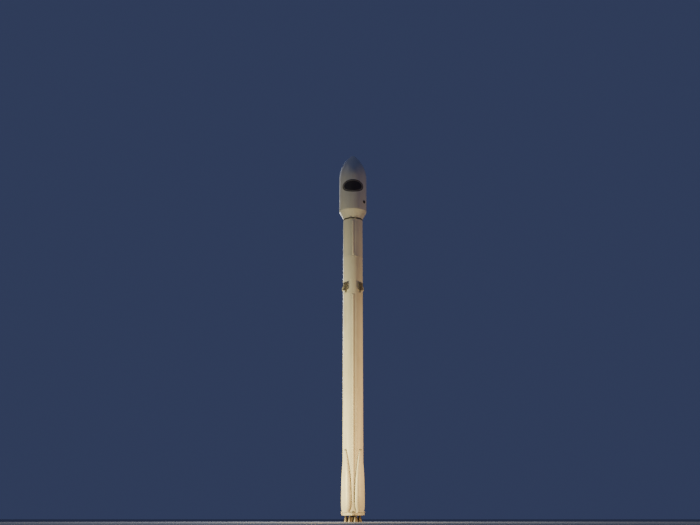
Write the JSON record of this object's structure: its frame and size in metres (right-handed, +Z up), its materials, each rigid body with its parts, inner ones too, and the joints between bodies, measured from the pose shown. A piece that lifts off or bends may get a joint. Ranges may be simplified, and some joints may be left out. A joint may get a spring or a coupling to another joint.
{
  "type": "orbital launch rocket, 1:2 scale model",
  "caption": "Two-stage orbital launch rocket with payload fairing, swivelling engines, folded landing legs and stowed grid fins, at half size.",
  "frame": {"origin": "on the rocket's axis, in the plane of the hold-down feet's soles, half a metre above the engine bells' exits", "axes": "+Z up along the rocket's axis, the pictured side towards -Y, the umbilical side towards +Y"},
  "size_m": [2.5944, 2.5944, 34.1997],
  "materials": {
    "white_paint": "satin",
    "grey_paint": "satin",
    "fairing_paint": "satin",
    "leg_paint": "satin",
    "fin_metal": "matte",
    "nozzle_metal": "satin",
    "vacuum_nozzle_metal": "satin",
    "forged_metal": "satin",
    "heat_shield_cork": "matte"
  },
  "bodies": {
    "first_stage": {"engine_section": "white_paint", "thrust_plate": "forged_metal", "base_heat_shield": "heat_shield_cork", "hold_down_foot_1": "forged_metal", "hold_down_foot_2": "forged_metal", "hold_down_foot_3": "forged_metal", "hold_down_foot_4": "forged_metal", "fuel_tank": "white_paint", "oxidiser_tank": "white_paint", "raceway_front": "white_paint", "raceway_back": "white_paint", "landing_leg_1": "leg_paint", "landing_leg_2": "leg_paint", "landing_leg_3": "leg_paint", "landing_leg_4": "leg_paint", "interstage": "grey_paint", "thruster_pod_1": "grey_paint", "thruster_pod_2": "grey_paint", "umbilical_panel_lower": "forged_metal"},
    "gimbal_1": {"gimbal_cross_1": "forged_metal"},
    "engine_body_1": {"engine_1": "nozzle_metal"},
    "gimbal_2": {"gimbal_cross_2": "forged_metal"},
    "engine_body_2": {"engine_2": "nozzle_metal"},
    "gimbal_3": {"gimbal_cross_3": "forged_metal"},
    "engine_body_3": {"engine_3": "nozzle_metal"},
    "gimbal_4": {"gimbal_cross_4": "forged_metal"},
    "engine_body_4": {"engine_4": "nozzle_metal"},
    "gimbal_5": {"gimbal_cross_5": "forged_metal"},
    "engine_body_5": {"engine_5": "nozzle_metal"},
    "gimbal_6": {"gimbal_cross_6": "forged_metal"},
    "engine_body_6": {"engine_6": "nozzle_metal"},
    "gimbal_7": {"gimbal_cross_7": "forged_metal"},
    "engine_body_7": {"engine_7": "nozzle_metal"},
    "gimbal_8": {"gimbal_cross_8": "forged_metal"},
    "engine_body_8": {"engine_8": "nozzle_metal"},
    "gimbal_9": {"gimbal_cross_9": "forged_metal"},
    "engine_body_9": {"engine_9": "nozzle_metal"},
    "fin_root_body_1": {"fin_root_1": "forged_metal"},
    "grid_fin_body_1": {"grid_fin_1": "fin_metal"},
    "fin_root_body_2": {"fin_root_2": "forged_metal"},
    "grid_fin_body_2": {"grid_fin_2": "fin_metal"},
    "fin_root_body_3": {"fin_root_3": "forged_metal"},
    "grid_fin_body_3": {"grid_fin_3": "fin_metal"},
    "fin_root_body_4": {"fin_root_4": "forged_metal"},
    "grid_fin_body_4": {"grid_fin_4": "fin_metal"},
    "second_stage": {"second_stage_tank": "grey_paint", "raceway_upper": "grey_paint", "umbilical_panel_upper": "forged_metal", "payload_adapter": "forged_metal"},
    "upper_gimbal": {"upper_gimbal_cross": "forged_metal"},
    "upper_engine_body": {"upper_engine": "vacuum_nozzle_metal"},
    "fairing_front": {"fairing_half_front": "fairing_paint"},
    "fairing_back": {"fairing_half_back": "fairing_paint"}
  },
  "joints": [
    {"name": "engine_1_pitch", "type": "hinge", "parent": "first_stage", "child": "gimbal_1", "pos_m": [0, 0, 0.56], "axis": [1, 0, 0], "range_deg": [-3.5, 3.5]},
    {"name": "engine_1_yaw", "type": "hinge", "parent": "gimbal_1", "child": "engine_body_1", "pos_m": [0, 0, 0.56], "axis": [0, 1, 0], "range_deg": [-3.5, 3.5]},
    {"name": "engine_2_pitch", "type": "hinge", "parent": "first_stage", "child": "gimbal_2", "pos_m": [0.24492, -0.59128, 0.56], "axis": [1, 0, 0], "range_deg": [-3.5, 3.5]},
    {"name": "engine_2_yaw", "type": "hinge", "parent": "gimbal_2", "child": "engine_body_2", "pos_m": [0.24492, -0.59128, 0.56], "axis": [0, 1, 0], "range_deg": [-3.5, 3.5]},
    {"name": "engine_3_pitch", "type": "hinge", "parent": "first_stage", "child": "gimbal_3", "pos_m": [0.59128, -0.24492, 0.56], "axis": [1, 0, 0], "range_deg": [-3.5, 3.5]},
    {"name": "engine_3_yaw", "type": "hinge", "parent": "gimbal_3", "child": "engine_body_3", "pos_m": [0.59128, -0.24492, 0.56], "axis": [0, 1, 0], "range_deg": [-3.5, 3.5]},
    {"name": "engine_4_pitch", "type": "hinge", "parent": "first_stage", "child": "gimbal_4", "pos_m": [0.59128, 0.24492, 0.56], "axis": [1, 0, 0], "range_deg": [-3.5, 3.5]},
    {"name": "engine_4_yaw", "type": "hinge", "parent": "gimbal_4", "child": "engine_body_4", "pos_m": [0.59128, 0.24492, 0.56], "axis": [0, 1, 0], "range_deg": [-3.5, 3.5]},
    {"name": "engine_5_pitch", "type": "hinge", "parent": "first_stage", "child": "gimbal_5", "pos_m": [0.24492, 0.59128, 0.56], "axis": [1, 0, 0], "range_deg": [-3.5, 3.5]},
    {"name": "engine_5_yaw", "type": "hinge", "parent": "gimbal_5", "child": "engine_body_5", "pos_m": [0.24492, 0.59128, 0.56], "axis": [0, 1, 0], "range_deg": [-3.5, 3.5]},
    {"name": "engine_6_pitch", "type": "hinge", "parent": "first_stage", "child": "gimbal_6", "pos_m": [-0.24492, 0.59128, 0.56], "axis": [1, 0, 0], "range_deg": [-3.5, 3.5]},
    {"name": "engine_6_yaw", "type": "hinge", "parent": "gimbal_6", "child": "engine_body_6", "pos_m": [-0.24492, 0.59128, 0.56], "axis": [0, 1, 0], "range_deg": [-3.5, 3.5]},
    {"name": "engine_7_pitch", "type": "hinge", "parent": "first_stage", "child": "gimbal_7", "pos_m": [-0.59128, 0.24492, 0.56], "axis": [1, 0, 0], "range_deg": [-3.5, 3.5]},
    {"name": "engine_7_yaw", "type": "hinge", "parent": "gimbal_7", "child": "engine_body_7", "pos_m": [-0.59128, 0.24492, 0.56], "axis": [0, 1, 0], "range_deg": [-3.5, 3.5]},
    {"name": "engine_8_pitch", "type": "hinge", "parent": "first_stage", "child": "gimbal_8", "pos_m": [-0.59128, -0.24492, 0.56], "axis": [1, 0, 0], "range_deg": [-3.5, 3.5]},
    {"name": "engine_8_yaw", "type": "hinge", "parent": "gimbal_8", "child": "engine_body_8", "pos_m": [-0.59128, -0.24492, 0.56], "axis": [0, 1, 0], "range_deg": [-3.5, 3.5]},
    {"name": "engine_9_pitch", "type": "hinge", "parent": "first_stage", "child": "gimbal_9", "pos_m": [-0.24492, -0.59128, 0.56], "axis": [1, 0, 0], "range_deg": [-3.5, 3.5]},
    {"name": "engine_9_yaw", "type": "hinge", "parent": "gimbal_9", "child": "engine_body_9", "pos_m": [-0.24492, -0.59128, 0.56], "axis": [0, 1, 0], "range_deg": [-3.5, 3.5]},
    {"name": "fin_1_steer", "type": "hinge", "parent": "first_stage", "child": "fin_root_body_1", "pos_m": [0.6562, -0.6562, 19.95], "axis": [0.7071, -0.7071, 0], "range_deg": [-20, 20]},
    {"name": "fin_1_fold", "type": "hinge", "parent": "fin_root_body_1", "child": "grid_fin_body_1", "pos_m": [0.6965, -0.6965, 19.95], "axis": [0.7071, 0.7071, 0], "range_deg": [0, 90]},
    {"name": "fin_2_steer", "type": "hinge", "parent": "first_stage", "child": "fin_root_body_2", "pos_m": [0.6562, 0.6562, 19.95], "axis": [0.7071, 0.7071, 0], "range_deg": [-20, 20]},
    {"name": "fin_2_fold", "type": "hinge", "parent": "fin_root_body_2", "child": "grid_fin_body_2", "pos_m": [0.6965, 0.6965, 19.95], "axis": [-0.7071, 0.7071, 0], "range_deg": [0, 90]},
    {"name": "fin_3_steer", "type": "hinge", "parent": "first_stage", "child": "fin_root_body_3", "pos_m": [-0.6562, 0.6562, 19.95], "axis": [-0.7071, 0.7071, 0], "range_deg": [-20, 20]},
    {"name": "fin_3_fold", "type": "hinge", "parent": "fin_root_body_3", "child": "grid_fin_body_3", "pos_m": [-0.6965, 0.6965, 19.95], "axis": [-0.7071, -0.7071, 0], "range_deg": [0, 90]},
    {"name": "fin_4_steer", "type": "hinge", "parent": "first_stage", "child": "fin_root_body_4", "pos_m": [-0.6562, -0.6562, 19.95], "axis": [-0.7071, -0.7071, 0], "range_deg": [-20, 20]},
    {"name": "fin_4_fold", "type": "hinge", "parent": "fin_root_body_4", "child": "grid_fin_body_4", "pos_m": [-0.6965, -0.6965, 19.95], "axis": [0.7071, -0.7071, 0], "range_deg": [0, 90]},
    {"name": "stage_separation", "type": "slide", "parent": "first_stage", "child": "second_stage", "axis": [0, 0, 1], "range_m": [0, 4]},
    {"name": "upper_engine_pitch", "type": "hinge", "parent": "second_stage", "child": "upper_gimbal", "pos_m": [0, 0, 22.755], "axis": [1, 0, 0], "range_deg": [-4, 4]},
    {"name": "upper_engine_yaw", "type": "hinge", "parent": "upper_gimbal", "child": "upper_engine_body", "pos_m": [0, 0, 22.755], "axis": [0, 1, 0], "range_deg": [-4, 4]},
    {"name": "fairing_front_swing", "type": "hinge", "parent": "second_stage", "child": "fairing_front", "pos_m": [0, -0.955, 27.084], "axis": [1, 0, 0], "range_deg": [0, 60]},
    {"name": "fairing_back_swing", "type": "hinge", "parent": "second_stage", "child": "fairing_back", "pos_m": [0, 0.955, 27.084], "axis": [-1, 0, 0], "range_deg": [0, 60]}
  ],
  "couplings": [
    {"joint": "engine_2_pitch", "follows": "engine_1_pitch", "ratio": 1},
    {"joint": "engine_2_yaw", "follows": "engine_1_yaw", "ratio": 1},
    {"joint": "engine_3_pitch", "follows": "engine_1_pitch", "ratio": 1},
    {"joint": "engine_3_yaw", "follows": "engine_1_yaw", "ratio": 1},
    {"joint": "engine_4_pitch", "follows": "engine_1_pitch", "ratio": 1},
    {"joint": "engine_4_yaw", "follows": "engine_1_yaw", "ratio": 1},
    {"joint": "engine_5_pitch", "follows": "engine_1_pitch", "ratio": 1},
    {"joint": "engine_5_yaw", "follows": "engine_1_yaw", "ratio": 1},
    {"joint": "engine_6_pitch", "follows": "engine_1_pitch", "ratio": 1},
    {"joint": "engine_6_yaw", "follows": "engine_1_yaw", "ratio": 1},
    {"joint": "engine_7_pitch", "follows": "engine_1_pitch", "ratio": 1},
    {"joint": "engine_7_yaw", "follows": "engine_1_yaw", "ratio": 1},
    {"joint": "engine_8_pitch", "follows": "engine_1_pitch", "ratio": 1},
    {"joint": "engine_8_yaw", "follows": "engine_1_yaw", "ratio": 1},
    {"joint": "engine_9_pitch", "follows": "engine_1_pitch", "ratio": 1},
    {"joint": "engine_9_yaw", "follows": "engine_1_yaw", "ratio": 1},
    {"joint": "fin_2_fold", "follows": "fin_1_fold", "ratio": 1},
    {"joint": "fin_3_fold", "follows": "fin_1_fold", "ratio": 1},
    {"joint": "fin_4_fold", "follows": "fin_1_fold", "ratio": 1}
  ]
}
